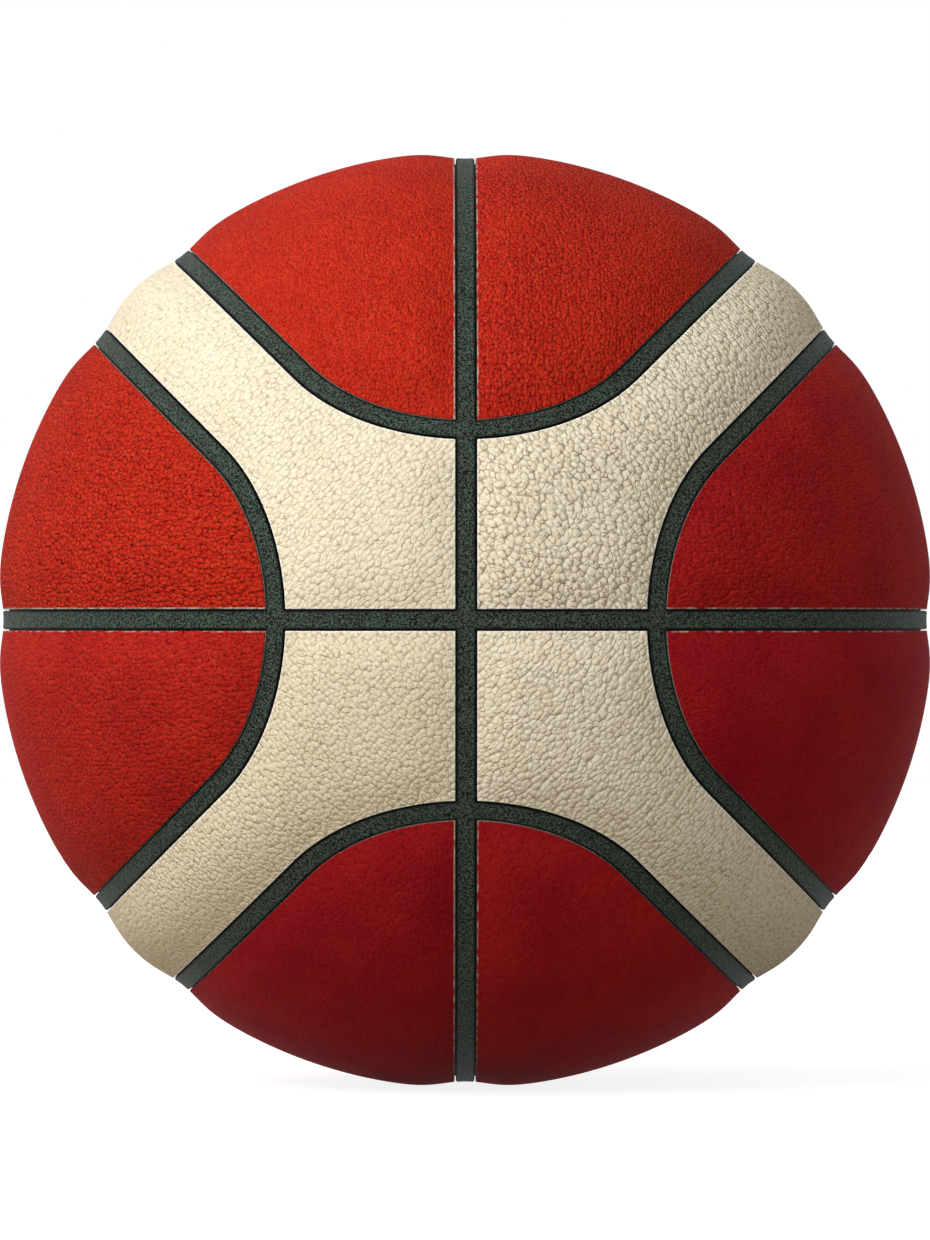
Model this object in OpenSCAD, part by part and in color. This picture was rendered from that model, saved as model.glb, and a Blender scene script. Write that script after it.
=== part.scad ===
// A leather basketball of twelve panels: eight half-oval red panels and four cream panels,
// glued on foam pads to a moulded rubber cover, with a rubber rib standing in every seam.
// The origin is the centre of the ball, +Z is up, and the pattern's poles face -Y (front) and +Y.

/* [Ball] */
// Diameter over the crowns of the leather panels
ball_d = 240; // [200:1:260]
// Depth of the seams below the crowns
seam_dip = 1.5; // [0.8:0.1:1.6]
// Distance from a seam over which a panel swells to its crown
shoulder_w = 7; // [5:0.5:9]

/* [Seams] */
// Width of the rubber rib in each seam
seam_w = 5.4; // [4:0.2:7]
// Angle at the ball's centre from a pole to the tip of an oval seam
tip_angle = 23.2; // [21:0.1:26]
// Angle at the ball's centre from a diagonal to the oval seams beside it
arm_angle = 7.1; // [5.5:0.1:9]

/* [Layers] */
// Thickness of a leather panel at its crown
leather_t = 1.9; // [1.8:0.1:2.6]
// Thickness of the glue lines over and under the foam
glue_t = 0.1; // [0.05:0.05:0.3]
// Thickness of the foam pad under each panel
foam_t = 1; // [0.6:0.1:2]
// Thickness of the moulded rubber cover
cover_t = 0.8; // [0.6:0.1:1.6]
// Thickness of the wound nylon thread
winding_t = 0.4; // [0.3:0.1:1]
// Wall thickness of the bladder
bladder_t = 0.7; // [0.5:0.1:1.2]

/* [Valve] */
// Angle at the ball's centre from the rear pole to the valve, along the upper right diagonal
valve_angle = 16; // [13:0.5:19]
// Diameter of the plug's head
plug_head_d = 8.4; // [7.6:0.2:9.4]
// Depth of the plug's face below the crowns
plug_recess = 0.6; // [0.3:0.1:1.2]
// Diameter of the plug's stem
plug_stem_d = 6; // [5:0.2:6.8]
// Diameter of the collar that locks the plug behind the seat
plug_collar_d = 7.2; // [6.9:0.1:8.4]
// Diameter of the hole for the inflating needle
needle_d = 2.1; // [1.8:0.1:2.6]
// Length of the straight part of the needle hole
needle_len = 12; // [8:0.5:14]
// Depth of the cone that leads the needle in
lead_in = 1; // [0.5:0.1:1.5]
// Thickness of the collar
collar_t = 1.5; // [1:0.1:2.5]
// Length of the plug's tapered nose behind the collar
nose_len = 2; // [1:0.1:3]
// Clearance round the plug's head in the leather and the foam
head_gap = 0.3; // [0.1:0.1:0.6]
// Diameter of the seat's neck, which passes through the cover
neck_d = 11; // [10.4:0.2:14]
// Diameter of the seat's boss inside the bladder
boss_d = 14; // [12:0.5:18]
// Length of the boss inwards from the bladder
boss_len = 16; // [15:0.5:22]
// Diameter of the seat's flange on the bladder
flange_d = 34; // [26:1:44]
// Thickness of the seat's flange
flange_t = 1.6; // [1:0.1:2.4]

/* [Hidden] */
$fn = 96;
ball_fn = 240;
ball_r = ball_d / 2;
rib_r = ball_r - seam_dip;
leather_in_r = ball_r - leather_t;
foam_r = leather_in_r - glue_t;
foam_in_r = foam_r - foam_t;
cover_r = foam_in_r - glue_t;
winding_r = cover_r - cover_t;
bladder_r = winding_r - winding_t;
air_r = bladder_r - bladder_t;

// Angles at the centre: half a rib, and the circle that rounds the tip of an oval, which
// touches both of the oval's sides
half_rib = seam_w / 2 / rib_r * 180 / PI;
tip_to_side = 90 - arm_angle + tip_angle;
round_tilt = atan2(-cos(tip_to_side), sin(tip_to_side) - sqrt(0.5));
round_angle = round_tilt - tip_angle;
round_turn = atan2(1, cos(round_tilt));
side_from = atan2(sin(round_tilt) * sqrt(0.5), cos(round_tilt));

// Facets along and across a panel
tip_steps = 7;
side_steps = 10;
seam_steps = 4;
red_columns = 10;
cream_columns = 8;
wedge_reach = 1.25;

// Turn about the Y axis from the right-hand oval to the upper right cream panel
diagonal = 45;

RED = [
    "right_upper", "right_lower", "top_left", "top_right",
    "left_lower", "left_upper", "bottom_right", "bottom_left"
];
CREAM = ["upper_right", "upper_left", "lower_left", "lower_right"];
VALVE_PANEL = 0;

// A direction from the centre: u runs from the front pole along a great circle, v lies beside it
function direction(u, v) = [cos(v) * sin(u), -cos(v) * cos(u), sin(v)];

// The same direction after a turn about the Y axis, from +X towards +Z
function turned(p, a) = [p.x * cos(a) - p.z * sin(a), p.y, p.x * sin(a) + p.z * cos(a)];

// The u and v of a direction
function along(p) = atan2(p.x, -p.y);
function beside(p) = asin(p.z);

// A point of the circle that rounds the front tip of the right-hand oval
function tip_point(angle, turn) =
    cos(angle) * direction(round_tilt, 0)
    + sin(angle) * cos(turn) * direction(round_tilt - 90, 0)
    + sin(angle) * sin(turn) * [0, 0, 1];

// A point of the straight side of an oval, at a given angle from the upper right diagonal
function side_point(u, angle) = turned(direction(u, -angle), diagonal);

// Turn about the round's axis at which its circle of a given size is half a rib above the ring seam
function turn_at_rib(angle) = asin(sin(half_rib) / sin(angle));

// Front half of the edge that a panel shares with the right-hand oval seam: round, then side
function oval_edge(angle, side_angle) = concat(
    [for (k = [0:tip_steps])
        let (from = turn_at_rib(angle))
        tip_point(angle, from + (round_turn - from) * k / tip_steps)],
    [for (k = [1:side_steps]) side_point(side_from + (90 - side_from) * k / side_steps, side_angle)]
);

// Front part of a cream panel's edge along the ring seam, from the pole to the oval's tip
function ring_edge(angle) =
    let (
        from = asin(tan(half_rib)),
        to = round_tilt - acos(cos(angle) / cos(half_rib))
    )
    [for (k = [0:seam_steps - 1]) direction(from + (to - from) * k / seam_steps, half_rib)];

// A half edge and its mirror image at the back
function whole_edge(half) = concat(
    half,
    [for (k = [len(half) - 2:-1:0]) [half[k].x, -half[k].y, half[k].z]]
);

red_edge = whole_edge(oval_edge(round_angle - half_rib, arm_angle + half_rib));
cream_edge = whole_edge(concat(
    ring_edge(round_angle + half_rib),
    oval_edge(round_angle + half_rib, arm_angle - half_rib)
));

// Stations along a panel: place on its great circle, then the limits on both sides of it
red_stations = [for (p = red_edge) [along(p), half_rib, beside(p)]];
cream_stations = [
    for (p = cream_edge)
        let (q = turned(p, -diagonal))
        [along(q), beside(q), -beside(q)]
];

// Angle between a direction and the nearest oval seam, with x the side that the oval lies on
function oval_gap(x, y, z) =
    let (p = turned([x, -abs(y), z], -diagonal))
    along(p) < side_from
        ? abs(acos([x, -abs(y), z] * direction(round_tilt, 0)) - round_angle)
        : abs(asin(-p.z) - arm_angle);

// Share of the full swell that is reached at an angle from a seam
function swell(angle) = 1 - exp(-pow(angle * PI / 180 * ball_r / shoulder_w, 2) / 2);

// Radius of the leather's face: the crown, drawn in beside the two ring seams and the ovals
function face_r(p) =
    let (
        x = abs(p.x),
        z = abs(p.z),
        rings = swell(asin(x)) * swell(asin(z)),
        ovals = swell(oval_gap(x, p.y, z)) * swell(oval_gap(z, p.y, x))
    )
    ball_r - seam_dip * (1 - rings * ovals);

// Points across a panel lie closer together beside its seams
function spread(t) = (1 - cos(180 * t)) / 2;

// A solid from the ball's centre out through a panel's edge. Its cap follows the leather's face
// where crowned, and otherwise stands clear of every layer.
module panel_wedge(stations, columns, turn, crowned) {
    last = len(stations) - 1;
    width = columns + 1;
    rays = concat(
        [direction(stations[0][0], stations[0][1])],
        [for (i = [1:last - 1], j = [0:columns])
            let (s = stations[i])
            direction(s[0], s[1] + (s[2] - s[1]) * spread(j / columns))],
        [direction(stations[last][0], stations[last][1])]
    );
    points = [for (ray = rays) let (p = turned(ray, turn)) p * (crowned ? face_r(p) : wedge_reach * ball_r)];
    front = 0;
    rear = len(points) - 1;
    centre = len(points);
    function at(i, j) = i == 0 ? front : i == last ? rear : 1 + (i - 1) * width + j;
    front_fan = [for (j = [0:columns - 1]) [front, at(1, j + 1), at(1, j)]];
    rear_fan = [for (j = [0:columns - 1]) [rear, at(last - 1, j), at(last - 1, j + 1)]];
    left_halves = [for (i = [1:last - 2], j = [0:columns - 1]) [at(i, j), at(i, j + 1), at(i + 1, j + 1)]];
    right_halves = [for (i = [1:last - 2], j = [0:columns - 1]) [at(i, j), at(i + 1, j + 1), at(i + 1, j)]];
    first_wall = [for (i = [0:last - 1]) [centre, at(i, 0), at(i + 1, 0)]];
    second_wall = [for (i = [0:last - 1]) [centre, at(i + 1, columns), at(i, columns)]];
    polyhedron(
        concat(points, [[0, 0, 0]]),
        concat(front_fan, rear_fan, left_halves, right_halves, first_wall, second_wall)
    );
}

// Places of the panels: the ovals follow each other by quarter turns, and every second red panel
// is the mirror image of the one before it
module red_place(i) {
    rotate([0, -90 * floor(i / 2), 0])
        mirror([0, 0, i % 2])
            children();
}

module cream_place(i) {
    rotate([0, -90 * i, 0])
        children();
}

module red_wedge(i) {
    red_place(i)
        panel_wedge(red_stations, 1, 0, false);
}

module cream_wedge(i) {
    cream_place(i)
        panel_wedge(cream_stations, 1, diagonal, false);
}

// A ball with its own poles under the seam crossings
module round_ball(r) {
    rotate([90, 0, 0])
        sphere(r, $fn = ball_fn);
}

// A hollow ball between two radii
module hollow_ball(outer, inner) {
    difference() {
        round_ball(outer);
        round_ball(inner);
    }
}

// Turns +Z outwards along the valve's axis
module on_valve() {
    rotate([0, -diagonal, 0])
        rotate([0, 0, -valve_angle])
            rotate([-90, 0, 0])
                children();
}

// A hole through every layer round the valve
module valve_hole(d) {
    on_valve()
        cylinder(h = 2 * ball_r, d = d);
}

module bladder() {
    color("dimgray")
        difference() {
            hollow_ball(bladder_r, air_r);
            valve_hole(neck_d);
        }
}

module winding() {
    color("gainsboro")
        difference() {
            hollow_ball(winding_r, bladder_r);
            valve_hole(neck_d);
        }
}

module cover_rubber() {
    color([0.16, 0.16, 0.15])
        difference() {
            hollow_ball(cover_r, winding_r);
            valve_hole(neck_d);
        }
}

// Ribs stand on the cover wherever no panel lies. The shell that they are cut from is turned
// so that its own poles fall inside two cream panels.
module seam_ribs() {
    color([0.13, 0.14, 0.13])
        difference() {
            rotate([-90, diagonal, 0])
                hollow_ball(rib_r, cover_r);
            for (i = [0:len(RED) - 1])
                red_wedge(i);
            for (i = [0:len(CREAM) - 1])
                cream_wedge(i);
        }
}

module red_panel(i) {
    color([0.78, 0.22, 0.13])
        difference() {
            red_place(i)
                panel_wedge(red_stations, red_columns, 0, true);
            round_ball(leather_in_r);
        }
}

module cream_panel(i) {
    color([0.93, 0.87, 0.77])
        difference() {
            cream_place(i)
                panel_wedge(cream_stations, cream_columns, diagonal, true);
            round_ball(leather_in_r);
            if (i == VALVE_PANEL)
                valve_hole(plug_head_d + 2 * head_gap);
        }
}

module foam_pad_red(i) {
    color("wheat")
        intersection() {
            hollow_ball(foam_r, foam_in_r);
            red_wedge(i);
        }
}

module foam_pad_cream(i) {
    color("wheat")
        difference() {
            intersection() {
                hollow_ball(foam_r, foam_in_r);
                cream_wedge(i);
            }
            if (i == VALVE_PANEL)
                valve_hole(plug_head_d + 2 * head_gap);
        }
}

// Flange bonded inside the bladder, boss inwards, neck outwards to the face of the cover
module valve_seat() {
    color([0.2, 0.2, 0.2])
        difference() {
            union() {
                intersection() {
                    hollow_ball(air_r, air_r - flange_t);
                    on_valve()
                        translate([0, 0, air_r - 2 * flange_t])
                            cylinder(h = 2 * flange_t, d1 = flange_d - 4 * flange_t, d2 = flange_d);
                }
                on_valve()
                    translate([0, 0, air_r - boss_len])
                        cylinder(h = boss_len - flange_t / 2, d = boss_d);
                intersection() {
                    hollow_ball(cover_r, air_r - flange_t);
                    valve_hole(neck_d);
                }
            }
            valve_hole(plug_stem_d);
        }
}

// Head on the seat's neck, stem through the seat, and a collar that locks behind the boss
module valve_plug() {
    face = ball_r - plug_recess;
    boss_end = air_r - boss_len;
    color([0.1, 0.1, 0.1])
        difference() {
            union() {
                difference() {
                    on_valve()
                        translate([0, 0, cover_r - cover_t])
                            cylinder(h = face - cover_r + cover_t, d = plug_head_d);
                    round_ball(cover_r);
                }
                on_valve() {
                    translate([0, 0, boss_end - collar_t])
                        cylinder(h = face - boss_end, d = plug_stem_d);
                    translate([0, 0, boss_end - collar_t])
                        cylinder(h = collar_t, d = plug_collar_d);
                    translate([0, 0, boss_end - collar_t - nose_len])
                        cylinder(h = nose_len, d1 = plug_stem_d / 2, d2 = plug_collar_d);
                }
            }
            on_valve() {
                translate([0, 0, face - lead_in - needle_len])
                    cylinder(h = needle_len + lead_in, d = needle_d);
                translate([0, 0, face - lead_in])
                    cylinder(h = 2 * lead_in, d1 = needle_d, d2 = needle_d + 4 * lead_in);
            }
        }
}

bladder();
winding();
cover_rubber();
seam_ribs();
valve_seat();
valve_plug();
for (i = [0:len(RED) - 1]) {
    red_panel(i);
    foam_pad_red(i);
}
for (i = [0:len(CREAM) - 1]) {
    cream_panel(i);
    foam_pad_cream(i);
}
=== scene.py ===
import bmesh
import bpy
import numpy as np
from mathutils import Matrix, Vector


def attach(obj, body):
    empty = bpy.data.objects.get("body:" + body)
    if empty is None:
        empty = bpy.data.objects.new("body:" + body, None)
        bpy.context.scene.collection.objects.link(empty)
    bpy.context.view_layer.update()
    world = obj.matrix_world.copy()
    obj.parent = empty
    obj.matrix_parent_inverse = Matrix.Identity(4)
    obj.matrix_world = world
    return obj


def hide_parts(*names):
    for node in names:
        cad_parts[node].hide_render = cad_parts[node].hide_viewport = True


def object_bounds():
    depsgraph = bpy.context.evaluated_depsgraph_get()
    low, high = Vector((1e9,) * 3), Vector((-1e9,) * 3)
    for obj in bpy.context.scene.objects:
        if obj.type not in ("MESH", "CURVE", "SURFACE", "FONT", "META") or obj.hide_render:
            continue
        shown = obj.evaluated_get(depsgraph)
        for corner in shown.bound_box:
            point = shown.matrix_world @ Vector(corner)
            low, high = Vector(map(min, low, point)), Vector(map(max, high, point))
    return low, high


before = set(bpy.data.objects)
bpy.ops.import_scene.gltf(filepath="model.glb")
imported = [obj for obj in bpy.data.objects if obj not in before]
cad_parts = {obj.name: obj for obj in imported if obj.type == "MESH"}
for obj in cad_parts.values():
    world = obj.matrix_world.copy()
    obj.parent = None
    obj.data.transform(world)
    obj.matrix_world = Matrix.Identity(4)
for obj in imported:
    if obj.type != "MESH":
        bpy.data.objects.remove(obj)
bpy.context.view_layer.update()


# Bladder and valve seat. The bladder is an air-tight ball of moulded butyl rubber, and the seat is
# a thicker rubber boss with a flange, vulcanised to the inside of its wall to hold the valve plug.
def linear(hex_colour):
    """Linear RGBA of an sRGB hex colour: a channel up to 0.04045 is divided by 12.92, and a higher one
    has 0.055 added, is divided by 1.055 and raised to 2.4."""
    srgb = np.array([int(hex_colour[k:k + 2], 16) for k in (1, 3, 5)]) / 255
    rgb = np.where(srgb > 0.04045, ((srgb + 0.055) / 1.055) ** 2.4, srgb / 12.92)
    return (*rgb.tolist(), 1.0)


def add_node(tree, kind, inputs, out=None, **settings):
    """Adds a shader node with its settings. Each input is a socket, which is linked, or a value,
    which is set. Gives the named output, or the first one in use."""
    node = tree.nodes.new("ShaderNode" + kind)
    for name, value in settings.items():
        setattr(node, name, value)
    in_use = [socket for socket in node.inputs if socket.enabled]
    for key, value in inputs.items():
        socket = in_use[key] if isinstance(key, int) else next(s for s in in_use if s.name == key)
        if isinstance(value, bpy.types.NodeSocket):
            tree.links.new(value, socket)
        else:
            socket.default_value = value
    return node.outputs[out] if out else next((s for s in node.outputs if s.enabled), None)


def new_material(name):
    """An empty node material, and its tree."""
    material = bpy.data.materials.new(name)
    material.use_nodes = True
    material.node_tree.nodes.clear()
    return material, material.node_tree


def dress(node_names, material):
    """Gives CAD nodes a material in place of their plain one."""
    for name in node_names:
        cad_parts[name].data.materials.clear()
        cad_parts[name].data.materials.append(material)


# Moulded butyl rubber: near black and dull, with a pale bloom of talc in cloudy patches
BUTYL_BLACK = "#1E1F20"
TALC_GREY = "#8A8985"
TALC_CLOUD = 0.018
butyl, tree = new_material("moulded_butyl_rubber")
place = add_node(tree, "TexCoord", {}, "Object")
cloud = add_node(tree, "TexNoise", {"Vector": place, "Scale": 1 / TALC_CLOUD, "Detail": 5.0})
bloom = add_node(tree, "MapRange", {"Value": cloud, "From Min": 0.45, "From Max": 0.75, "To Max": 0.35})
colour = add_node(tree, "Mix", {0: bloom, 1: linear(BUTYL_BLACK), 2: linear(TALC_GREY)}, data_type="RGBA")
dull = add_node(tree, "MapRange", {
    "Value": cloud, "From Min": 0.3, "From Max": 0.7, "To Min": 0.55, "To Max": 0.8})
shader = add_node(tree, "BsdfPrincipled", {"Base Color": colour, "Roughness": dull, "IOR": 1.5})
add_node(tree, "OutputMaterial", {"Surface": shader})
dress(["bladder", "valve_seat"], butyl)


# Thread winding. Nylon thread is wound over the blown-up bladder in every direction and set in
# latex, so that the ball keeps its size and stays round.
THREAD_WHITE = "#E6DFCB"
LATEX_AMBER = "#A98B52"
THREAD_PITCH = 0.0024
THREAD_HEIGHT = 0.0002
BELT = 0.03
BELT_END = 0.1
DIRECTIONS = 12
GOLDEN_ANGLE = np.pi * (3 - np.sqrt(5))
# The spacing of a wave texture's bands is this over its scale
WAVE_BAND = 0.314
# Latex-set nylon thread: off-white threads that cross in twelve directions, with amber latex between
# them. Each direction's turns are bands across an axis. They lie on a belt, where they run nearly as
# great circles do, and thin out past it. The axes are spread evenly by the golden angle. Real turns
# lie too close to show, so these are drawn further apart.
thread, tree = new_material("latex_set_nylon_thread")
place = add_node(tree, "TexCoord", {}, "Object")
wound = 0.0
for k in range(DIRECTIONS):
    axis_turn = (0, GOLDEN_ANGLE * k, np.arcsin((k + 0.5) / DIRECTIONS))
    laid = add_node(tree, "Mapping", {"Vector": place, "Rotation": axis_turn})
    strand = add_node(tree, "TexWave", {
        "Vector": laid, "Scale": WAVE_BAND / THREAD_PITCH, "Distortion": 0.8, "Detail": 1.0}, "Fac")
    aside = add_node(tree, "SeparateXYZ", {"Vector": laid}, "X")
    aside = add_node(tree, "Math", {0: aside}, operation="ABSOLUTE")
    belt = add_node(tree, "MapRange", {
        "Value": aside, "From Min": BELT, "From Max": BELT_END, "To Min": 1.0, "To Max": 0.0})
    strand = add_node(tree, "Math", {0: strand, 1: belt}, operation="MULTIPLY")
    wound = add_node(tree, "Math", {0: strand, 1: wound}, operation="MAXIMUM")
shown = add_node(tree, "MapRange", {"Value": wound, "From Min": 0.7, "From Max": 0.85})
colour = add_node(tree, "Mix", {0: shown, 1: linear(LATEX_AMBER), 2: linear(THREAD_WHITE)}, data_type="RGBA")
bump = add_node(tree, "Bump", {"Height": wound, "Strength": 1.0, "Distance": THREAD_HEIGHT})
shader = add_node(tree, "BsdfPrincipled", {
    "Base Color": colour, "Roughness": 0.5, "IOR": 1.53, "Normal": bump})
add_node(tree, "OutputMaterial", {"Surface": shader})
dress(["winding"], thread)


# Rubber cover. A thin skin of black natural rubber is moulded over the winding. It holds the
# thread down, and carries the raised seams.
COVER_BLACK = "#151715"
COVER_GREY = "#2C302C"
GRIT = 0.0008
GRIT_HEIGHT = 0.0002
# Moulded natural rubber: dull black, with a fine matt grain from the mould
cover, tree = new_material("moulded_natural_rubber")
place = add_node(tree, "TexCoord", {}, "Object")
grit = add_node(tree, "TexNoise", {"Vector": place, "Scale": 1 / GRIT, "Detail": 3.0})
colour = add_node(tree, "Mix", {0: grit, 1: linear(COVER_BLACK), 2: linear(COVER_GREY)}, data_type="RGBA")
bump = add_node(tree, "Bump", {"Height": grit, "Strength": 0.3, "Distance": GRIT_HEIGHT})
shader = add_node(tree, "BsdfPrincipled", {
    "Base Color": colour, "Roughness": 0.65, "IOR": 1.52, "Normal": bump})
add_node(tree, "OutputMaterial", {"Surface": shader})
dress(["cover_rubber"], cover)


# Seam ribs. Rubber ribs stand on the cover in two rings through the poles and four ovals, and the
# leather panels are laid between them. They are one moulding with rounded shoulders, vulcanised to
# the cover.
BALL_R = 0.120
RIB_R = 0.1185
COVER_R = 0.1169
SEAM_W = 0.0054
HALF_RIB = SEAM_W / 2 / RIB_R
RIB_GAP = 0.0003
RIB_DISH = 0.0002
DISH_POINTS = 6
RIB_SHOULDER = 0.0007
SHOULDER_POINTS = 6
RIB_STEP = 0.001
JOIN_WITHIN = 1e-7
# Millimetres in a metre
MM = 1000
# Where two ribs cross, one lies a hundredth of a millimetre lower, so that no two faces coincide
CROSSING_DROP = 0.00001
# An oval's tip is this far from the pole, and its sides this far from the diagonals. One small circle
# rounds the tip: its axis is tilted from the pole along the ring seam, and it turns about that axis
# until it runs into the side's small circle
TIP_ANGLE = np.radians(23.2)
ARM_ANGLE = np.radians(7.1)
DIAGONAL = np.radians(45)
TIP_TO_SIDE = np.pi / 2 - ARM_ANGLE + TIP_ANGLE
ROUND_TILT = np.arctan2(-np.cos(TIP_TO_SIDE), np.sin(TIP_TO_SIDE) - np.sqrt(0.5))
ROUND_ANGLE = ROUND_TILT - TIP_ANGLE
ROUND_TURN = np.arctan2(1, np.cos(ROUND_TILT))
SIDE_FROM = np.arctan2(np.sin(ROUND_TILT) * np.sqrt(0.5), np.cos(ROUND_TILT))


def direction(u, v):
    """Unit vector at angle u from the front pole along a great circle, and at angle v beside it."""
    return np.stack([np.cos(v) * np.sin(u), -np.cos(v) * np.cos(u), np.sin(v) + 0 * u], -1)


def turned(p, angle):
    """Vectors p after a turn about the Y axis, from +X towards +Z."""
    x, y, z = np.moveaxis(p, -1, 0)
    return np.stack([x * np.cos(angle) - z * np.sin(angle), y, x * np.sin(angle) + z * np.cos(angle)], -1)


def tip_point(angle, turn):
    """Points of the small circle, at that angle from its axis, that rounds the front tip of the
    right-hand oval: the axis times the cosine, and a circle about it times the sine."""
    turn = turn[:, None]
    axis = direction(ROUND_TILT, 0.0)
    front = direction(ROUND_TILT - np.pi / 2, 0.0)
    up = np.array([0, 0, 1])
    return np.cos(angle) * axis + np.sin(angle) * (np.cos(turn) * front + np.sin(turn) * up)


def oval_quarter(angle, side_angle, turn_from, step):
    """Front half of an oval's upper edge, in equal steps: round its tip, then along its side."""
    tip_steps = int(np.ceil((ROUND_TURN - turn_from) * np.sin(angle) * BALL_R / step))
    side_steps = int(np.ceil((np.pi / 2 - SIDE_FROM) * np.cos(side_angle) * BALL_R / step))
    tip = tip_point(angle, np.linspace(turn_from, ROUND_TURN, tip_steps, endpoint=False))
    side = turned(direction(np.linspace(SIDE_FROM, np.pi / 2, side_steps + 1), -side_angle), DIAGONAL)
    return np.concatenate([tip, side])


def with_mirror(half, axis):
    """A line and its mirror image, run through in one go, without the point that they share."""
    return np.concatenate([half, half[-2::-1] * np.where(np.arange(3) == axis, -1, 1)])


def mesh_object(name, points, faces, attributes=None):
    """An object from arrays of points and quads, with vectors per point, made closed: points that no
    quad uses are left out, those that fall together are joined, and the faces turned outwards."""
    used, faces = np.unique(faces, return_inverse=True)
    mesh = bpy.data.meshes.new(name)
    mesh.from_pydata(points.reshape(-1, 3)[used], [], faces.reshape(-1, 4))
    for key, values in (attributes or {}).items():
        values = values.reshape(-1, 3)[used].astype(np.float32)
        mesh.attributes.new(key, "FLOAT_VECTOR", "POINT").data.foreach_set("vector", values.ravel())
    shape = bmesh.new()
    shape.from_mesh(mesh)
    bmesh.ops.remove_doubles(shape, verts=shape.verts, dist=JOIN_WITHIN)
    bmesh.ops.recalc_face_normals(shape, faces=shape.faces)
    shape.to_mesh(mesh)
    shape.free()
    mesh.shade_smooth()
    made = bpy.data.objects.new(name, mesh)
    bpy.context.scene.collection.objects.link(made)
    return made


def oval_gap(x, y, z):
    """Angle from a direction to the nearest oval seam on the side that x points to: from the small
    circle of the tip in front of the oval's sides, and from the side's own small circle behind."""
    p = np.stack([x, -np.abs(y), z], -1)
    q = turned(p, -DIAGONAL)
    to_tip = np.abs(np.arccos(np.clip(p @ direction(ROUND_TILT, 0.0), -1, 1)) - ROUND_ANGLE)
    to_side = np.abs(np.arcsin(np.clip(-q[..., 2], -1, 1)) - ARM_ANGLE)
    return np.where(np.arctan2(q[..., 0], -q[..., 1]) < SIDE_FROM, to_tip, to_side)


def seam_distances(p):
    """Arc distances from unit vectors to the two ring seams and the two ovals beside them."""
    x, y, z = np.abs(np.moveaxis(p, -1, 0))
    to_rings = [np.arcsin(np.clip(x, 0, 1)), np.arcsin(np.clip(z, 0, 1))]
    return BALL_R * np.stack([*to_rings, oval_gap(x, y, z), oval_gap(z, y, x)])


def rib_along(path, drop):
    """A rib's closed skin along a closed path of unit vectors: the path turned sideways by each
    profile point's offset, times a radius. The radius follows the depth inside the whole network of
    seams, so that crossing ribs run into each other: a shallow dish, and a quarter round at each
    shoulder. The last point on each side is down on the cover. Gives the points, the quads, and the
    depth inside the network in mm."""
    half = SEAM_W / 2 - RIB_GAP
    bend = np.radians(np.linspace(90, 0, SHOULDER_POINTS))
    shoulder = half - RIB_SHOULDER + RIB_SHOULDER * np.cos(bend)
    across = np.concatenate([np.linspace(0, shoulder[0], DISH_POINTS)[:-1], shoulder, [half]])
    across = np.concatenate([-across[:0:-1], across])
    forward = np.roll(path, -1, 0) - np.roll(path, 1, 0)
    beside = np.cross(path, forward)
    beside /= np.linalg.norm(beside, axis=1, keepdims=True)
    angle = (across / RIB_R)[None, :, None]
    rays = np.cos(angle) * path[:, None] + np.sin(angle) * beside[:, None]
    depth = np.clip(half - seam_distances(rays).min(0) * RIB_R / BALL_R, 0, half)
    dished = RIB_DISH * (1 - (1 - depth / half) ** 2)
    short = np.clip(1 - depth / RIB_SHOULDER, 0, 1)
    radius = RIB_R - drop - dished - RIB_SHOULDER * (1 - np.sqrt(1 - short ** 2))
    radius[:, [0, -1]] = COVER_R
    points = rays * radius[..., None]
    index = np.arange(radius.size).reshape(radius.shape)
    ahead = np.roll(index, -1, 0)
    quads = np.stack([index, ahead, np.roll(ahead, -1, 1), np.roll(index, -1, 1)], -1)
    inset = np.stack([depth * MM, 0 * depth, 0 * depth], -1)
    return points.reshape(-1, 3), quads.reshape(-1, 4), inset.reshape(-1, 3)


ring_steps = int(np.ceil(2 * np.pi * RIB_R / RIB_STEP))
ring = direction(np.linspace(0, 2 * np.pi, ring_steps, endpoint=False), 0.0)
oval = with_mirror(with_mirror(oval_quarter(ROUND_ANGLE, ARM_ANGLE, 0.0, RIB_STEP), 1), 2)[:-1]
rib_parts = [rib_along(ring, 0), rib_along(turned(ring, np.pi / 2), CROSSING_DROP)]
rib_parts += [rib_along(turned(oval, k * np.pi / 2), 2 * CROSSING_DROP) for k in range(4)]
starts = np.cumsum([0] + [len(part[0]) for part in rib_parts[:-1]])
seam_rubber = mesh_object(
    "seam_rubber",
    np.concatenate([points for points, _, _ in rib_parts]),
    np.concatenate([quads + start for (_, quads, _), start in zip(rib_parts, starts)]),
    {"inset": np.concatenate([inset for _, _, inset in rib_parts])},
)

# Moulded natural rubber of the ribs: greenish black and dull, with a fine pebble whose tops are worn to a
# grey green, and a black painted shade along its edges, in the crevice beside the leather
RIB_BLACK = "#060807"
RIB_GREY = "#4E5D54"
RIB_EDGE_SHADE_BLACK = "#020302"
RIB_PEBBLE = 0.0009
RIB_SPECK = 0.00045
RIB_RELIEF = 0.00025
rib_rubber, tree = new_material("pebbled_natural_rubber")
place = add_node(tree, "TexCoord", {}, "Object")
pebble = add_node(tree, "TexVoronoi", {"Vector": place, "Scale": 1 / RIB_PEBBLE}, "Distance")
speck = add_node(tree, "TexNoise", {"Vector": place, "Scale": 1 / RIB_SPECK, "Detail": 2.0})
worn = add_node(tree, "MapRange", {"Value": speck, "From Min": 0.4, "From Max": 0.64})
colour = add_node(tree, "Mix", {0: worn, 1: linear(RIB_BLACK), 2: linear(RIB_GREY)}, data_type="RGBA")
inset = add_node(tree, "Attribute", {}, "Vector", attribute_name="inset")
inset = add_node(tree, "SeparateXYZ", {"Vector": inset}, "X")
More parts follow.
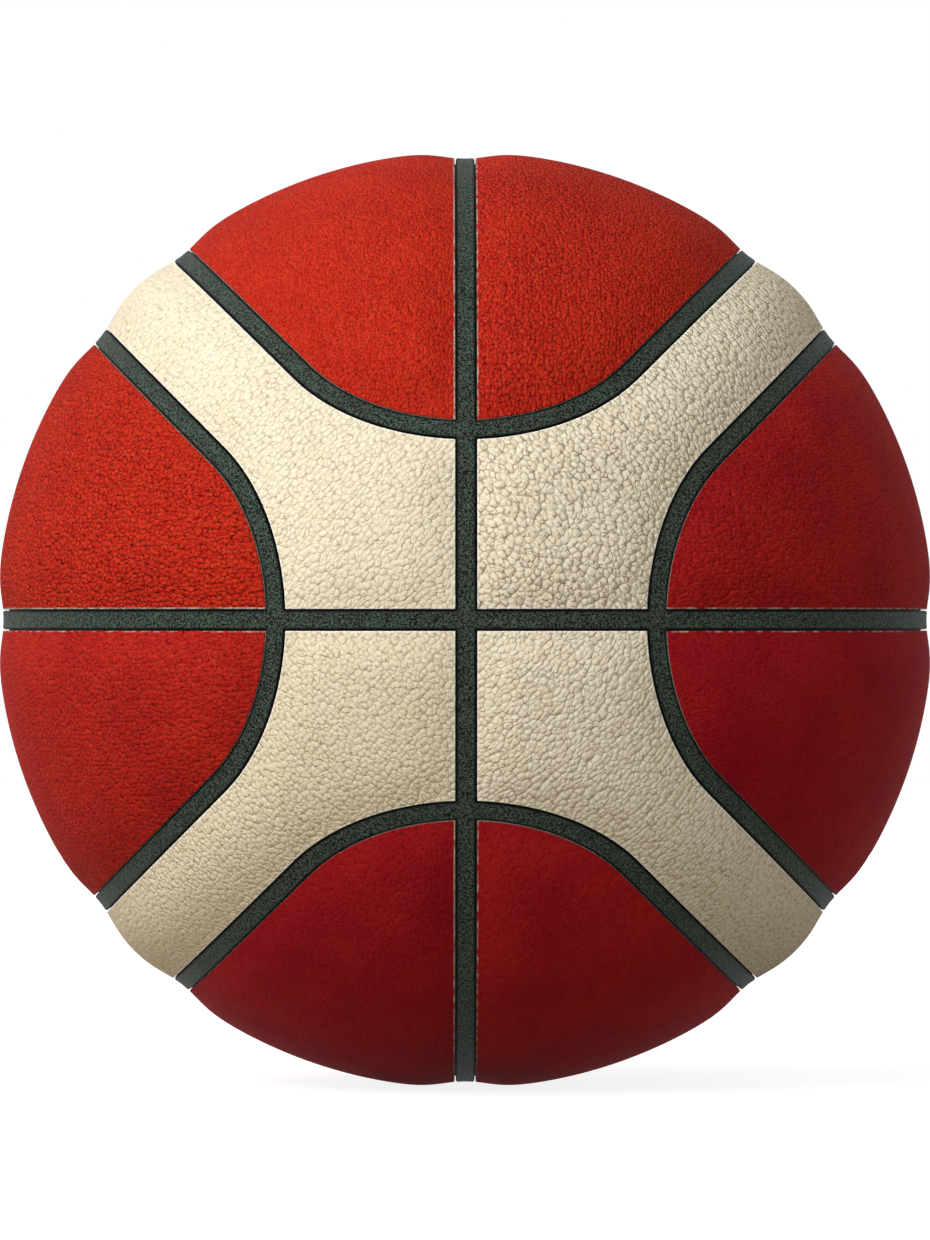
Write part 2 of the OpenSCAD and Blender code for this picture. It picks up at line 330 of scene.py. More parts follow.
# Painted shade: the rib darkens to black over the last 0.7 mm to its edges, where it meets the leather
clear_of_edge_shade = add_node(tree, "MapRange", {"Value": inset, "From Min": 0.2, "From Max": 0.7})
colour = add_node(tree, "Mix", {0: clear_of_edge_shade, 1: linear(RIB_EDGE_SHADE_BLACK), 2: colour}, data_type="RGBA")
height = add_node(tree, "Math", {0: speck, 1: pebble}, operation="SUBTRACT")
bump = add_node(tree, "Bump", {"Height": height, "Strength": 1.0, "Distance": RIB_RELIEF})
shader = add_node(tree, "BsdfPrincipled", {
    "Base Color": colour, "Roughness": 0.6, "IOR": 1.52, "Specular IOR Level": 0.07, "Normal": bump})
add_node(tree, "OutputMaterial", {"Surface": shader})
seam_rubber.data.materials.append(rib_rubber)
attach(seam_rubber, "root")
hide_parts("seam_ribs")


# Foam pads. A thin sheet of closed-cell foam lies in each field between the ribs, cut to the field's
# outline with soft edges. It is glued to the cover below it and to the leather above it, and gives the
# ball its cushioned feel.
FOAM_R = 0.118
FOAM_IN_R = 0.117
FOAM_EDGE = 0.0004
# The fields, in the order of their places: two in each oval, and one along each diagonal
RED_FIELDS = (
    "right_upper", "right_lower", "top_left", "top_right",
    "left_lower", "left_upper", "bottom_right", "bottom_left",
)
CREAM_FIELDS = ("upper_right", "upper_left", "lower_left", "lower_right")
# The step between the stations of a field's outline, and how far columns crowd towards its edges
FIELD_STEP = 0.0009
EDGE_CROWDING = 0.8
# A pad has one station in so many, and few columns
PAD_STEP = 4
PAD_COLUMNS = 24
HOLED_PAD_STEP = 2
HOLED_PAD_COLUMNS = 64
# The valve's hole, 16 degrees from the rear pole, and its radius as an angle
VALVE_U = np.radians(180 - 16)
VALVE_HOLE = 0.0045 / BALL_R
# Round a hole: the block of cells left out, beside the hole's radius, how many blocks away points still
# follow, and the place in blocks of every point where there is no hole
HOLE_BLOCK = 0.85
HOLE_REACH = 3
NO_BLOCK = 9.0
TINY = 1e-9


def to_red_place(k):
    """Moves the upper half of the right-hand oval to red field k: every second field is mirrored below
    its ring seam, and each pair lies a quarter turn on from the last."""
    flip = np.array([1, 1, -1 if k % 2 else 1])
    return lambda p: turned(p * flip, (k // 2) * np.pi / 2)


def to_cream_place(k):
    """Moves the upper right diagonal to cream field k, k quarter turns on."""
    return lambda p: turned(p, k * np.pi / 2)


def panel_grid(u, low, high, columns, hole):
    """Angles u and v over a panel: rows at each u, from one limit beside the great circle to the
    other, with columns crowded towards both edges. A hole is given by its u and its radius as an
    angle: a block of cells is left out for it, the block's rim is moved on to a circle, and the points
    up to three blocks away follow less and less. Gives u, v and each point's place in blocks."""
    share = np.linspace(0, 1, columns + 1)
    share = share - EDGE_CROWDING * np.sin(2 * np.pi * share) / (2 * np.pi)
    v = low[:, None] + (high - low)[:, None] * share
    rows = np.repeat(u[:, None], columns + 1, 1)
    if not hole:
        return rows, v, np.full_like(v, NO_BLOCK)
    hole_u, hole_angle = hole
    middle = columns // 2
    near = np.argmin(np.abs(u - hole_u))
    tall = np.argmin(np.abs(u - hole_u - HOLE_BLOCK * hole_angle)) - near
    wide = np.abs(np.argmin(np.abs(v[near] - HOLE_BLOCK * hole_angle)) - middle)
    down, across = np.indices(v.shape)
    blocks = np.maximum(np.abs(down - near) / tall, np.abs(across - middle) / wide)
    far = np.maximum(np.hypot(rows - hole_u, v), TINY)
    follow = np.clip((HOLE_REACH - blocks) / (HOLE_REACH - 1), 0, 1)
    moved = 1 + follow * (hole_angle * blocks / far - 1)
    return hole_u + (rows - hole_u) * moved, v * moved, blocks


def panel_faces(blocks, back_blocks):
    """Quads of a closed panel whose stations each run across the face and back across the rear, less
    the cells inside a hole's block, and the hole's wall: quads from the rim in front to that behind."""
    around = np.concatenate([blocks, back_blocks], 1)
    index = np.arange(around.size).reshape(around.shape)
    here = index[:-1]
    ahead = index[1:]
    faces = np.stack([here, ahead, np.roll(ahead, -1, 1), np.roll(here, -1, 1)], -1).reshape(-1, 4)
    inside = around.ravel() < 1 + TINY
    faces = faces[~inside[faces].all(-1)]
    down, over = np.nonzero(blocks < 1 + TINY)
    if not down.size:
        return faces
    top, bottom, left, right = down.min(), down.max(), over.min(), over.max()
    along = np.arange(top, bottom)
    beside = np.arange(left, right)
    rim_row = np.concatenate([0 * beside + top, along, 0 * beside + bottom, along[::-1] + 1])
    rim_column = np.concatenate([beside, 0 * along + right, beside[::-1] + 1, 0 * along + left])
    front = index[rim_row, rim_column]
    rear = index[rim_row, around.shape[1] - 1 - rim_column]
    return np.concatenate([faces, np.stack([front, np.roll(front, -1), np.roll(rear, -1), rear], -1)])


def foam_pad(name, outline, step, columns, turn, placed, hole=None):
    """A closed pad over every so many stations of a field's outline: each station runs across the
    outer face and back across the inner one, and both faces draw together by a quarter round of the
    distance from the edge."""
    stations = len(outline[0])
    pick = np.unique(np.append(np.arange(0, stations, step), stations - 1))
    u, low, high = [line[pick] for line in outline]
    rows, v, blocks = panel_grid(u, low, high, columns, hole)
    back_rows, back_v, back_blocks = panel_grid(u, high, low, columns, hole)
    rows = np.concatenate([rows, back_rows], 1)
    v = np.concatenate([v, back_v], 1)
    rays = turned(direction(rows, v), turn)
    edge = np.maximum(seam_distances(rays).min(0) - SEAM_W / 2, 0)
    soft = FOAM_EDGE * (1 - np.sqrt(1 - np.clip(1 - edge / FOAM_EDGE, 0, 1) ** 2))
    radius = FOAM_R - soft
    radius[:, columns + 1:] = FOAM_IN_R + soft[:, columns + 1:]
    return mesh_object(name, placed(rays * radius[..., None]), panel_faces(blocks, back_blocks))


# Closed-cell EVA foam: off-white and dull, with fine cells that show as dimples
FOAM_GREY = "#B9B6AC"
FOAM_WHITE = "#E4E1D8"
FOAM_CELL = 0.0006
FOAM_DIMPLE = 0.0003
foam, tree = new_material("closed_cell_eva_foam")
place = add_node(tree, "TexCoord", {}, "Object")
cell = add_node(tree, "TexVoronoi", {"Vector": place, "Scale": 1 / FOAM_CELL}, "Distance")
colour = add_node(tree, "Mix", {0: cell, 1: linear(FOAM_GREY), 2: linear(FOAM_WHITE)}, data_type="RGBA")
bump = add_node(tree, "Bump", {"Height": cell, "Strength": 0.6, "Distance": FOAM_DIMPLE})
shader = add_node(tree, "BsdfPrincipled", {
    "Base Color": colour, "Roughness": 0.85, "IOR": 1.48, "Normal": bump})
add_node(tree, "OutputMaterial", {"Surface": shader})

# The outline of a red field, from the ring seam to the oval, and of a cream one, from the ring seam
# round the oval's tip and along its side
red_tip = np.arcsin(np.sin(HALF_RIB) / np.sin(ROUND_ANGLE - HALF_RIB))
red_edge = with_mirror(oval_quarter(ROUND_ANGLE - HALF_RIB, ARM_ANGLE + HALF_RIB, red_tip, FIELD_STEP), 1)
red_u = np.arctan2(red_edge[:, 0], -red_edge[:, 1])
red_outline = (red_u, np.full_like(red_u, HALF_RIB), np.arcsin(red_edge[:, 2]))
ring_to = ROUND_TILT - np.arccos(np.cos(ROUND_ANGLE + HALF_RIB) / np.cos(HALF_RIB))
ring_from = np.arcsin(np.tan(HALF_RIB))
ring_rows = int(np.ceil((ring_to - ring_from) * BALL_R / FIELD_STEP))
cream_tip = np.arcsin(np.sin(HALF_RIB) / np.sin(ROUND_ANGLE + HALF_RIB))
cream_quarter = np.concatenate([
    direction(np.linspace(ring_from, ring_to, ring_rows, endpoint=False), HALF_RIB),
    oval_quarter(ROUND_ANGLE + HALF_RIB, ARM_ANGLE - HALF_RIB, cream_tip, FIELD_STEP),
])
cream_edge = turned(with_mirror(cream_quarter, 1), -DIAGONAL)
cream_v = np.arcsin(cream_edge[:, 2])
cream_outline = (np.arctan2(cream_edge[:, 0], -cream_edge[:, 1]), cream_v, -cream_v)
pads = {}
for k, name in enumerate(RED_FIELDS):
    pads["red_" + name] = foam_pad(
        "foam_red_" + name, red_outline, PAD_STEP, PAD_COLUMNS, 0.0, to_red_place(k))
for k, name in enumerate(CREAM_FIELDS):
    step, columns, hole = (PAD_STEP, PAD_COLUMNS, None)
    if k == 0:
        step, columns, hole = (HOLED_PAD_STEP, HOLED_PAD_COLUMNS, (VALVE_U, VALVE_HOLE))
    pads["cream_" + name] = foam_pad(
        "foam_cream_" + name, cream_outline, step, columns, DIAGONAL, to_cream_place(k), hole)
for name, pad in pads.items():
    pad.data.materials.append(foam)
    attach(pad, "root")
    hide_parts("foam_pad_" + name)


# Red leather panels. Eight half ovals are cut from dyed full-grain hide, skived thin at the edges
# and glued over foam, two to each oval, so that they swell between the ribs like pillows.
SEAM_DIP = 0.00175
SHOULDER_W = 0.0058
LEATHER_IN_R = 0.1181
EDGE_ROUND = 0.0003
SKIVED_EDGE = 0.0001
RED_COLUMNS = 130
# Of the columns in front, one in this many on the glued side
COLUMNS_BEHIND = 8
# How far the leather dips at a hole, over what distance, and a distance past every hole's reach
HOLE_DIP = 0.0003
HOLE_SOFT = 0.002
NO_HOLE = 1.0
# How far apart on the hide, in mm along and across, two panels are cut
PATCH_MM = np.array([137.0, 61.0])
# The first two of a point's four seams are the rings, along which a red panel's raw edge shows
RING_SEAMS = 2
# Each red panel's hide: the share of that edge where it shows raw, how deep its grain is and how large beside
# the usual size, which differ from cut to cut, and the share of crimson deep dye painted over it as shade,
# deepest on the panels at the right and bottom
RED_HIDES = {
    "right_upper": {"raw": 0.4, "depth": 0.6, "size": 1.1, "painted_shade": 0.6},
    "right_lower": {"raw": 0.1, "depth": 0.3, "size": 1.0, "painted_shade": 0.8},
    "top_left": {"raw": 0.8, "depth": 0.7, "size": 0.95, "painted_shade": 0.0},
    "top_right": {"raw": 0.3, "depth": 1.0, "size": 1.1, "painted_shade": 0.05},
    "left_lower": {"raw": 0.15, "depth": 0.7, "size": 1.2, "painted_shade": 0.35},
    "left_upper": {"raw": 0.9, "depth": 1.15, "size": 1.2, "painted_shade": 0.0},
    "bottom_right": {"raw": 0.25, "depth": 0.25, "size": 1.0, "painted_shade": 0.7},
    "bottom_left": {"raw": 0.65, "depth": 0.3, "size": 1.0, "painted_shade": 0.8},
}


def pillow_swell(gaps):
    """Share of the full swell: the product, over four seams, of one less a bell curve of the distance."""
    return np.prod(1 - np.exp(-(gaps / SHOULDER_W) ** 2 / 2), 0)


def leather_face(gaps, to_hole):
    """Radius of the leather's face. The crown radius is drawn in by the seam dip times what the swell
    lacks, and by a small bell curve of the distance from a hole. The edge falls away in a quarter
    round, and is never thinner than a skived edge."""
    edge = np.clip(gaps.min(0) - SEAM_W / 2, 0, to_hole)
    short = np.clip(1 - edge / EDGE_ROUND, 0, 1)
    rounded = EDGE_ROUND * (1 - np.sqrt(1 - short ** 2))
    drawn_in = SEAM_DIP * (1 - pillow_swell(gaps)) + HOLE_DIP * np.exp(-(to_hole / HOLE_SOFT) ** 2 / 2)
    return np.maximum(BALL_R - drawn_in - rounded, LEATHER_IN_R + SKIVED_EDGE)


def leather_panel(name, outline, columns, turn, placed, patch, raw_seams, hide, hole=None):
    """A closed leather panel. The outline gives u at each station and both limits of v there. Each station
    runs across the face, at the face's radius, and back across the glued side. The grain map is in mm along
    and across, set off by the patch of hide and drawn larger where the grain is, and holds the panel's
    painted shade, its share of the deep dye. The edge map holds the distance in mm from the edges that show
    raw hide, whose pale rim on the cream panels is partly a painted highlight, the share that shows, and the
    depth of the grain. The swell map holds the share of the full swell."""
    u, low, high = outline
    rows, v, blocks = panel_grid(u, low, high, columns, hole)
    back_columns = columns if hole else columns // COLUMNS_BEHIND
    back_rows, back_v, back_blocks = panel_grid(u, high, low, back_columns, hole)
    rows = np.concatenate([rows, back_rows], 1)
    v = np.concatenate([v, back_v], 1)
    to_hole = np.full_like(v, NO_HOLE)
    if hole:
        hole_u, hole_angle = hole
        to_hole = np.maximum(np.hypot(rows - hole_u, v) - hole_angle, 0) * BALL_R
    rays = turned(direction(rows, v), turn)
    gaps = seam_distances(rays)
    radius = leather_face(gaps, to_hole)
    radius[:, columns + 1:] = LEATHER_IN_R
    raw = np.clip(gaps[:raw_seams].min(0) - SEAM_W / 2, 0, to_hole) * MM
    # The third place of the grain map is the panel's painted shade: its share of the deep dye
    cut_from = np.array([*(patch * PATCH_MM), hide["painted_shade"]])
    maps = {
        "grain": np.stack([rows, v, 0 * v], -1) * BALL_R * MM / hide["size"] + cut_from,
        "edge": np.stack([raw, np.full_like(raw, hide["raw"]), np.full_like(raw, hide["depth"])], -1),
        "swell": np.stack([pillow_swell(gaps)] * 3, -1),
    }
    return mesh_object(name, placed(rays * radius[..., None]), panel_faces(blocks, back_blocks), maps)


# The hide's own pattern, in mm: clouds of dye, pores, pits, frayed places, the relief, and the swell
# that it adds to the pillows' shading
CLOUD_MM = 22.0
PORE_MM = 0.45
PIT_MM = 0.7
FRAY_MM = 3.0
RELIEF_MM = 0.8
PUFF_MM = 1.0
# In pebbles: how large a fold's group is, how large the places are where creases open, and two pushes
# with their size and reach, a slow one that varies the pebbles and a quick one that roughens them
GROUP = 3.6
OPEN_PLACE = 1.25
PUSHES = ((5.0, 1.2), (0.625, 0.3))
# How far the pebbles are scattered, where 0 is a square grid
SCATTER = 0.85
# How deep creases, folds, pits and pores are, as shares of the relief
CREASE_DEPTH = 0.12
FOLD_DEPTH = 0.15
PIT_DEPTH = 0.8
PORE_DEPTH = 0.15
# How much stain a fold takes beside a crease, and how much the clouds add to the dye
FOLD_STAIN = 0.4
CLOUD_DYE = 0.5
LEATHER_ROUGH = 0.7
CREASE_ROUGH = 0.9


def pebbled_leather(
        name, face, glow, deep_dye_and_painted_shade, crease, raw_edge_and_highlight, pebble_mm, faintest, stain_share, pit_share):
    """Full-grain leather, milled soft until its grain stands up in pebbles. These are a cell pattern, as long
    along the panel and across it as pebble_mm says and pushed about by noise, whose cells are domes that fall
    by the square of the distance from their middles. There are folds round groups of pebbles, pits and pores.
    The dye is darker in the creases and cloudy over the hide. The deep dye laid over whole panels is painted
    shade, laid deeper on the panels that lie in shade. The raw cut edge shows in places, and on the cream
    panels its pale rim is partly a painted highlight."""
    material, tree = new_material(name)
    grain = add_node(tree, "Attribute", {}, "Vector", attribute_name="grain")
    edge = add_node(tree, "Attribute", {}, "Vector", attribute_name="edge")
    swell = add_node(tree, "Attribute", {}, "Fac", attribute_name="swell")
    inwards, showing, milled = add_node(tree, "SeparateXYZ", {"Vector": edge}).node.outputs
    finest = min(pebble_mm)
    noises = ((CLOUD_MM, 4.0), (OPEN_PLACE * finest, 1.0), (PORE_MM, 2.0), (PIT_MM, 1.0), (FRAY_MM, 3.0))
    cloud, opened, pore, pit, frayed = [
        add_node(tree, "TexNoise", {
            "Vector": grain, "Scale": 1 / size, "Detail": fine}, noise_dimensions="2D")
        for size, fine in noises]
    pushed = grain
    for size, reach in PUSHES:
        push = add_node(tree, "TexNoise", {
            "Vector": grain, "Scale": 1 / (size * finest), "Detail": 1.0}, "Color", noise_dimensions="2D")
        pushed = add_node(tree, "VectorMath", {
            0: push, 1: (reach * finest,) * 3, 2: pushed}, operation="MULTIPLY_ADD")
    cells = add_node(tree, "VectorMath", {
        0: pushed, 1: (1 / pebble_mm[0], 1 / pebble_mm[1], 0)}, operation="MULTIPLY")
    packed = {"Vector": cells, "Scale": 1.0, "Randomness": SCATTER}
    pebble = add_node(tree, "TexVoronoi", packed, voronoi_dimensions="2D").node.outputs
    gap = add_node(tree, "TexVoronoi", packed, voronoi_dimensions="2D", feature="DISTANCE_TO_EDGE")
    fold = add_node(tree, "TexVoronoi", {
        "Vector": cells, "Scale": 1 / GROUP}, voronoi_dimensions="2D", feature="DISTANCE_TO_EDGE")
    dome = add_node(tree, "Math", {0: pebble["Distance"], 1: 2.0}, operation="POWER")
    furrow = add_node(tree, "MapRange", {
        "Value": gap, "From Max": 0.16, "To Min": 1.0, "To Max": 0.0}, interpolation_type="SMOOTHSTEP")
    fold = add_node(tree, "MapRange", {
        "Value": fold, "From Max": 0.07, "To Min": 1.0, "To Max": 0.0}, interpolation_type="SMOOTHSTEP")
    # Creases whose stain comes and goes along a pebble's outline, and from cloud to cloud
    opened = add_node(tree, "MapRange", {
        "Value": opened, "From Min": 0.4, "From Max": 0.64, "To Min": faintest, "To Max": 1.0})
    stained = add_node(tree, "MapRange", {
        "Value": cloud, "From Min": 0.35, "From Max": 0.65, "To Min": 0.75, "To Max": 1.0})
    stained = add_node(tree, "Math", {0: stained, 1: opened}, operation="MULTIPLY")
    lines = add_node(tree, "Math", {
        0: fold, 1: FOLD_STAIN, 2: furrow}, operation="MULTIPLY_ADD", use_clamp=True)
    lines = add_node(tree, "Math", {0: lines, 1: stained}, operation="MULTIPLY")
    lines = add_node(tree, "Math", {0: lines, 1: milled}, operation="MULTIPLY", use_clamp=True)
    pit = add_node(tree, "MapRange", {"Value": pit, "From Min": 0.54, "From Max": 0.7, "To Max": pit_share})
    stain = add_node(tree, "Math", {
        0: lines, 1: stain_share, 2: pit}, operation="MULTIPLY_ADD", use_clamp=True)
    # The dye, pebble by pebble and cloud by cloud, with each panel's share of the deep dye painted on as
    # shade, and darker where it has run into the creases
    bright = add_node(tree, "SeparateColor", {"Color": pebble["Color"]}, "Red")
    colour = add_node(tree, "Mix", {0: bright, 1: linear(face), 2: linear(glow)}, data_type="RGBA")
    # Painted shade: each panel's share of the deep dye, with the dye's real clouds added on top
    dye_and_painted_shade = add_node(tree, "SeparateXYZ", {"Vector": grain}, "Z")
    dye_and_painted_shade = add_node(tree, "Math", {0: cloud, 1: CLOUD_DYE, 2: dye_and_painted_shade}, operation="MULTIPLY_ADD")
    dye_and_painted_shade = add_node(tree, "MapRange", {"Value": dye_and_painted_shade, "From Min": 0.2, "From Max": 1.3})
    colour = add_node(tree, "Mix", {0: dye_and_painted_shade, 1: colour, 2: linear(deep_dye_and_painted_shade)}, data_type="RGBA")
    colour = add_node(tree, "Mix", {0: stain, 1: colour, 2: linear(crease)}, data_type="RGBA")
    # The raw edge, whose pale rim on the cream panels is partly a painted highlight: a narrow rim, where the
    # noise and the panel's own share let it show
    frayed = add_node(tree, "MapRange", {
        "Value": frayed, "From Min": 0.3, "From Max": 0.7, "To Min": -1.0, "To Max": 0.0})
    frayed = add_node(tree, "Math", {0: frayed, 1: showing}, operation="ADD")
    frayed = add_node(tree, "MapRange", {"Value": frayed, "From Min": -0.45, "From Max": 0.45})
    rim = add_node(tree, "MapRange", {
        "Value": inwards, "From Min": 0.2, "From Max": 0.5, "To Min": 1.0, "To Max": 0.0})
    raw_edge_and_highlight_mask = add_node(tree, "Math", {0: rim, 1: frayed}, operation="MULTIPLY")
    # On the cream panels this near-white rim is partly a painted highlight along every edge
    colour = add_node(tree, "Mix", {0: raw_edge_and_highlight_mask, 1: colour, 2: linear(raw_edge_and_highlight)}, data_type="RGBA")
    # The depth below the tops of the pebbles. The padding presses the middle of the panel out, which
    # deepens the shade beside the seams
    furrow = add_node(tree, "Math", {0: furrow, 1: stained}, operation="MULTIPLY")
    deep = dome
    for part, share in ((furrow, CREASE_DEPTH), (fold, FOLD_DEPTH), (pit, PIT_DEPTH), (pore, PORE_DEPTH)):
        deep = add_node(tree, "Math", {0: part, 1: share, 2: deep}, operation="MULTIPLY_ADD")
    deep = add_node(tree, "Math", {0: deep, 1: milled}, operation="MULTIPLY")
    deep = add_node(tree, "Math", {0: swell, 1: -PUFF_MM / RELIEF_MM, 2: deep}, operation="MULTIPLY_ADD")
    bump = add_node(tree, "Bump", {"Height": deep, "Strength": 1.0, "Distance": RELIEF_MM / MM}, invert=True)
    rough = add_node(tree, "MapRange", {"Value": lines, "To Min": LEATHER_ROUGH, "To Max": CREASE_ROUGH})
    shader = add_node(tree, "BsdfPrincipled", {
        "Base Color": colour, "Roughness": rough, "IOR": 1.45, "Specular IOR Level": 0.05, "Normal": bump})
    add_node(tree, "OutputMaterial", {"Surface": shader})
    return material


# Red leather: a bright aniline red, more orange on some pebbles than on others, with a crimson deep dye
# painted over the panels at the right and bottom as shade
red_leather = pebbled_leather(
    "dyed_full_grain_leather_red", face="#C02618", glow="#CE361F", deep_dye_and_painted_shade="#85061F", crease="#3E0508",
    raw_edge_and_highlight="#C8C2B8", pebble_mm=(1.35, 0.95), faintest=0.12, stain_share=0.7, pit_share=0.3,
)
for k, name in enumerate(RED_FIELDS):
    panel = leather_panel(
        "leather_red_" + name, red_outline, RED_COLUMNS, 0.0, to_red_place(k), k, RING_SEAMS, RED_HIDES[name])
    panel.data.materials.append(red_leather)
    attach(panel, "root")
    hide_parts("red_panel_" + name)


# Cream leather panels. Four long panels of the same hide, dyed cream and glued over foam like the red
# ones, lie along the diagonals between the ovals. They spread at both poles to meet the ring seams,
# and the valve comes out through one of them.
CREAM_COLUMNS = 72
HOLED_COLUMNS = 88
ALL_SEAMS = 4
# Each cream panel's hide, as the red ones, with a share of tan deep dye painted over it as shade. Its raw
# edge, whose pale rim is partly a painted highlight, shows along every seam
CREAM_HIDES = {
    "upper_right": {"raw": 1.1, "depth": 1.1, "size": 1.1, "painted_shade": 0.1},
    "upper_left": {"raw": 1.1, "depth": 0.7, "size": 1.0, "painted_shade": 0.1},
    "lower_left": {"raw": 1.1, "depth": 0.7, "size": 0.9, "painted_shade": 0.45},
    "lower_right": {"raw": 1.1, "depth": 0.8, "size": 1.0, "painted_shade": 0.0},
}
# Cream leather: a pale ivory finish with tan creases, a tan deep dye for painted shade, and a near-white rim
# at the edges that is partly a painted highlight
cream_leather = pebbled_leather(
    "dyed_full_grain_leather_cream", face="#EFE5CC", glow="#F4EDD8", deep_dye_and_painted_shade="#E4D6B8", crease="#7E6140",
    raw_edge_and_highlight="#FFFDF4", pebble_mm=(1.3, 1.625), faintest=0.05, stain_share=0.62, pit_share=0.1,
)
for k, name in enumerate(CREAM_FIELDS):
    columns, hole = (CREAM_COLUMNS, None)
    if k == 0:
        columns, hole = (HOLED_COLUMNS, (VALVE_U, VALVE_HOLE))
    panel = leather_panel(
        "leather_cream_" + name, cream_outline, columns, DIAGONAL, to_cream_place(k),
        len(RED_FIELDS) + k, ALL_SEAMS, CREAM_HIDES[name], hole)
    panel.data.materials.append(cream_leather)
    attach(panel, "root")
    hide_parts("cream_panel_" + name)


# Valve plug. A soft rubber plug is pushed through the hole in the leather into the seat, where its
# collar holds it. The needle goes in through its middle.
PLUG_BLACK = "#121312"
DUST_GREY = "#33352F"
DUST = 0.003
DUST_HEIGHT = 0.0002
# Moulded soft rubber: black and smooth, a little shiny from the mould, with faint dust
plug_rubber, tree = new_material("moulded_soft_rubber")
place = add_node(tree, "TexCoord", {}, "Object")
dust = add_node(tree, "TexNoise", {"Vector": place, "Scale": 1 / DUST, "Detail": 4.0})
colour = add_node(tree, "Mix", {0: dust, 1: linear(PLUG_BLACK), 2: linear(DUST_GREY)}, data_type="RGBA")
shine = add_node(tree, "MapRange", {
    "Value": dust, "From Min": 0.3, "From Max": 0.7, "To Min": 0.35, "To Max": 0.6})
bump = add_node(tree, "Bump", {"Height": dust, "Strength": 0.3, "Distance": DUST_HEIGHT})
shader = add_node(tree, "BsdfPrincipled", {
    "Base Color": colour, "Roughness": shine, "IOR": 1.5, "Normal": bump})
add_node(tree, "OutputMaterial", {"Surface": shader})
dress(["valve_plug"], plug_rubber)


# Floor, light and camera. A pale studio floor that looks white and keeps the ball's shadow, a soft key
# lamp at the upper left with a weaker one beside it and one behind, and a long lens square on to the
# ball's front pole.
FLOOR_HALF = 4.0
FLOOR_GREY = "#A8A194"
SHADOW_GREY = "#A0A0A0"
FLOOR_GLOW = 0.86
BACKGROUND_WHITE = "#FFFFFF"


def sees_background(tree):
    """One for camera, glossy and transmission rays, which see a white background, and zero for the
    rays that carry light to the ball."""
    rays = add_node(tree, "LightPath", {}).node.outputs
    seen = rays["Is Camera Ray"]
    for kind in ("Is Glossy Ray", "Is Transmission Ray"):
        seen = add_node(tree, "Math", {0: seen, 1: rays[kind]}, operation="MAXIMUM")
    return seen


floor_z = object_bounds()[0].z
corners = np.array([[-1, -1, 0], [1, -1, 0], [1, 1, 0], [-1, 1, 0]]) * FLOOR_HALF + [0, 0, floor_z]
floor_mesh = bpy.data.meshes.new("studio_floor")
floor_mesh.from_pydata(corners, [], [[0, 1, 2, 3]])
floor = bpy.data.objects.new("studio_floor", floor_mesh)
bpy.context.scene.collection.objects.link(floor)
# Matt white paper: a plain grey to the light that it throws back on the ball, and to the eye a white
# glow that only the ball's shadow dims
paper, tree = new_material("matt_white_paper")
seen = sees_background(tree)
dim = add_node(tree, "BsdfDiffuse", {"Color": linear(FLOOR_GREY)})
shaded = add_node(tree, "BsdfDiffuse", {"Color": linear(SHADOW_GREY)})
glow = add_node(tree, "Emission", {"Color": linear(BACKGROUND_WHITE), "Strength": FLOOR_GLOW})
white = add_node(tree, "AddShader", {0: glow, 1: shaded})
shader = add_node(tree, "MixShader", {0: seen, 1: dim, 2: white})
add_node(tree, "OutputMaterial", {"Surface": shader})
floor_mesh.materials.append(paper)

# The room: white where it is seen, and to the ball a soft light that falls off away from the key lamp
# and is warmer there
LIGHT_FROM = (-0.47, -0.73, 0.5)
ROOM_WARM = "#FFEBD0"
world = bpy.data.worlds.new("studio")
bpy.context.scene.world = world
world.use_nodes = True
tree = world.node_tree
tree.nodes.clear()
seen = sees_background(tree)
aim = add_node(tree, "TexCoord", {}, "Generated")
facing = add_node(tree, "VectorMath", {0: aim, 1: LIGHT_FROM}, "Value", operation="DOT_PRODUCT")
level = add_node(tree, "MapRange", {
    "Value": facing, "From Min": -1.0, "From Max": 1.0, "To Min": 0.22, "To Max": 0.6})
level = add_node(tree, "Mix", {0: seen, 1: level, 2: 1.0}, data_type="FLOAT")
warm = add_node(tree, "MapRange", {
    "Value": facing, "From Min": -0.8, "From Max": 0.2, "To Min": 1.0, "To Max": 0.0})
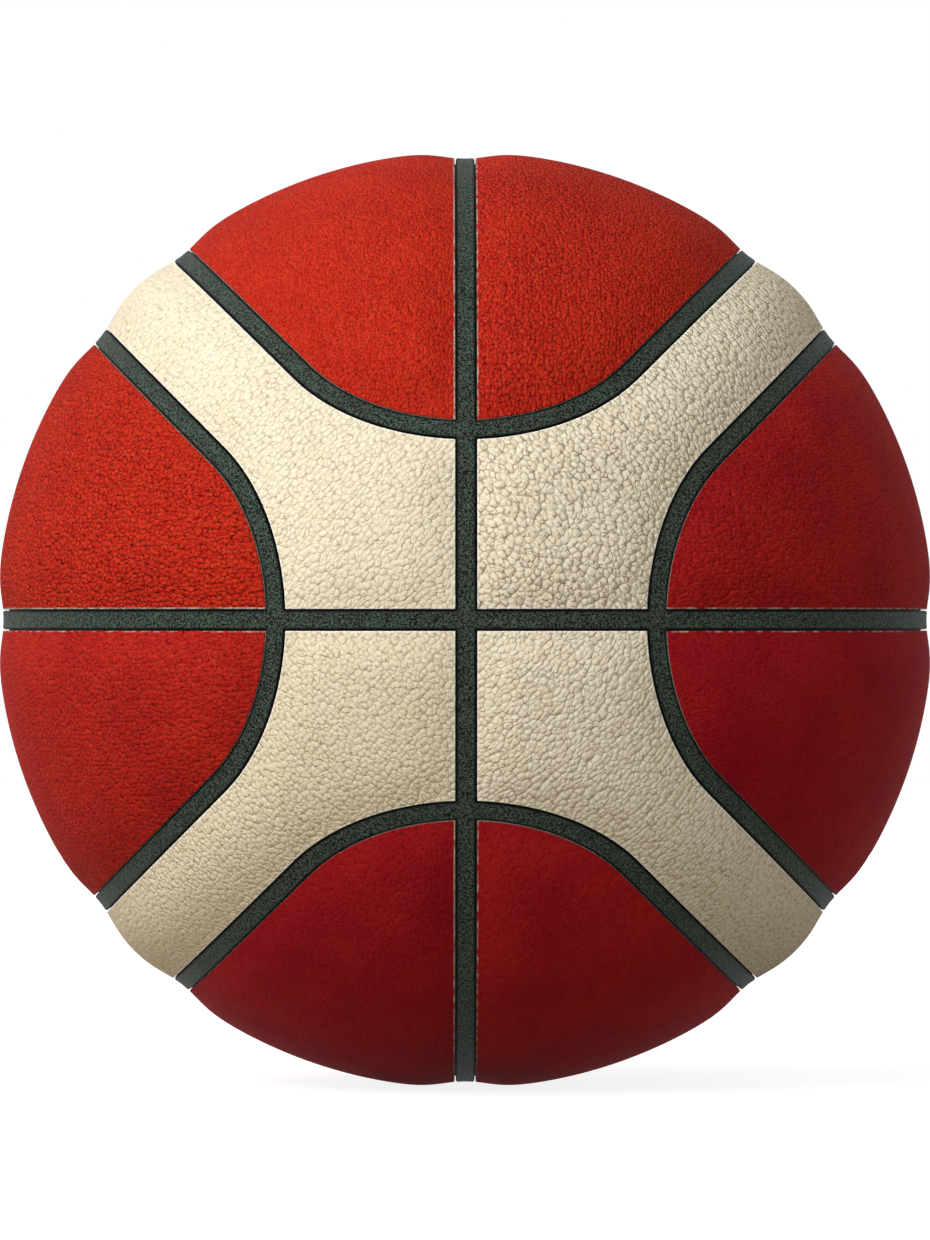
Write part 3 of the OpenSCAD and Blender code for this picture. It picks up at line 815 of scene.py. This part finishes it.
warm = add_node(tree, "Math", {0: warm, 1: seen}, operation="SUBTRACT", use_clamp=True)
colour = add_node(tree, "Mix", {0: warm, 1: linear(BACKGROUND_WHITE), 2: linear(ROOM_WARM)}, data_type="RGBA")
shader = add_node(tree, "Background", {"Color": colour, "Strength": level})
add_node(tree, "OutputWorld", {"Surface": shader})

LAMP_WHITE = "#FFFAF2"


def soft_lamp(name, place, size, level):
    """A square lamp that faces the ball. A Lambert panel of that power gives power / (pi distance^2)
    at the ball, and a white face turned to it shows that over pi, so level 1 is white."""
    data = bpy.data.lights.new(name, "AREA")
    data.size = size
    data.color = linear(LAMP_WHITE)[:3]
    data.energy = level * np.pi ** 2 * float(np.dot(place, place))
    lamp = bpy.data.objects.new(name, data)
    bpy.context.scene.collection.objects.link(lamp)
    lamp.location = place
    back = np.array(place) / np.linalg.norm(place)
    lamp.rotation_euler = (np.arccos(back[2]), 0, np.arctan2(back[1], back[0]) + np.pi / 2)
    lamp.visible_camera = False


soft_lamp("key_lamp", place=(-0.7, -1.1, 0.75), size=0.8, level=0.61)
soft_lamp("side_lamp", place=(-1.1, 0.1, 1.0), size=0.8, level=0.31)
soft_lamp("rear_lamp", place=(0.0, 2.2, 0.05), size=0.3, level=0.35)

# The lens shows the ball at this radius in a frame of this height, both in pixels
BALL_PX = 468.2
FRAME_PX = 1240
SENSOR_MM = 36
CAMERA_AWAY = 2.2
CAMERA_TURN = np.radians(0.16)
camera_data = bpy.data.cameras.new("camera")
camera_data.sensor_width = SENSOR_MM
camera_data.lens = SENSOR_MM * BALL_PX / FRAME_PX / np.tan(np.arcsin(BALL_R / CAMERA_AWAY))
camera = bpy.data.objects.new("camera", camera_data)
bpy.context.scene.collection.objects.link(camera)
camera.location = (-CAMERA_AWAY * np.sin(CAMERA_TURN), -CAMERA_AWAY * np.cos(CAMERA_TURN), 0)
camera.rotation_euler = (np.pi / 2, 0, -CAMERA_TURN)
bpy.context.scene.camera = camera
bpy.context.scene.view_settings.view_transform = "Standard"
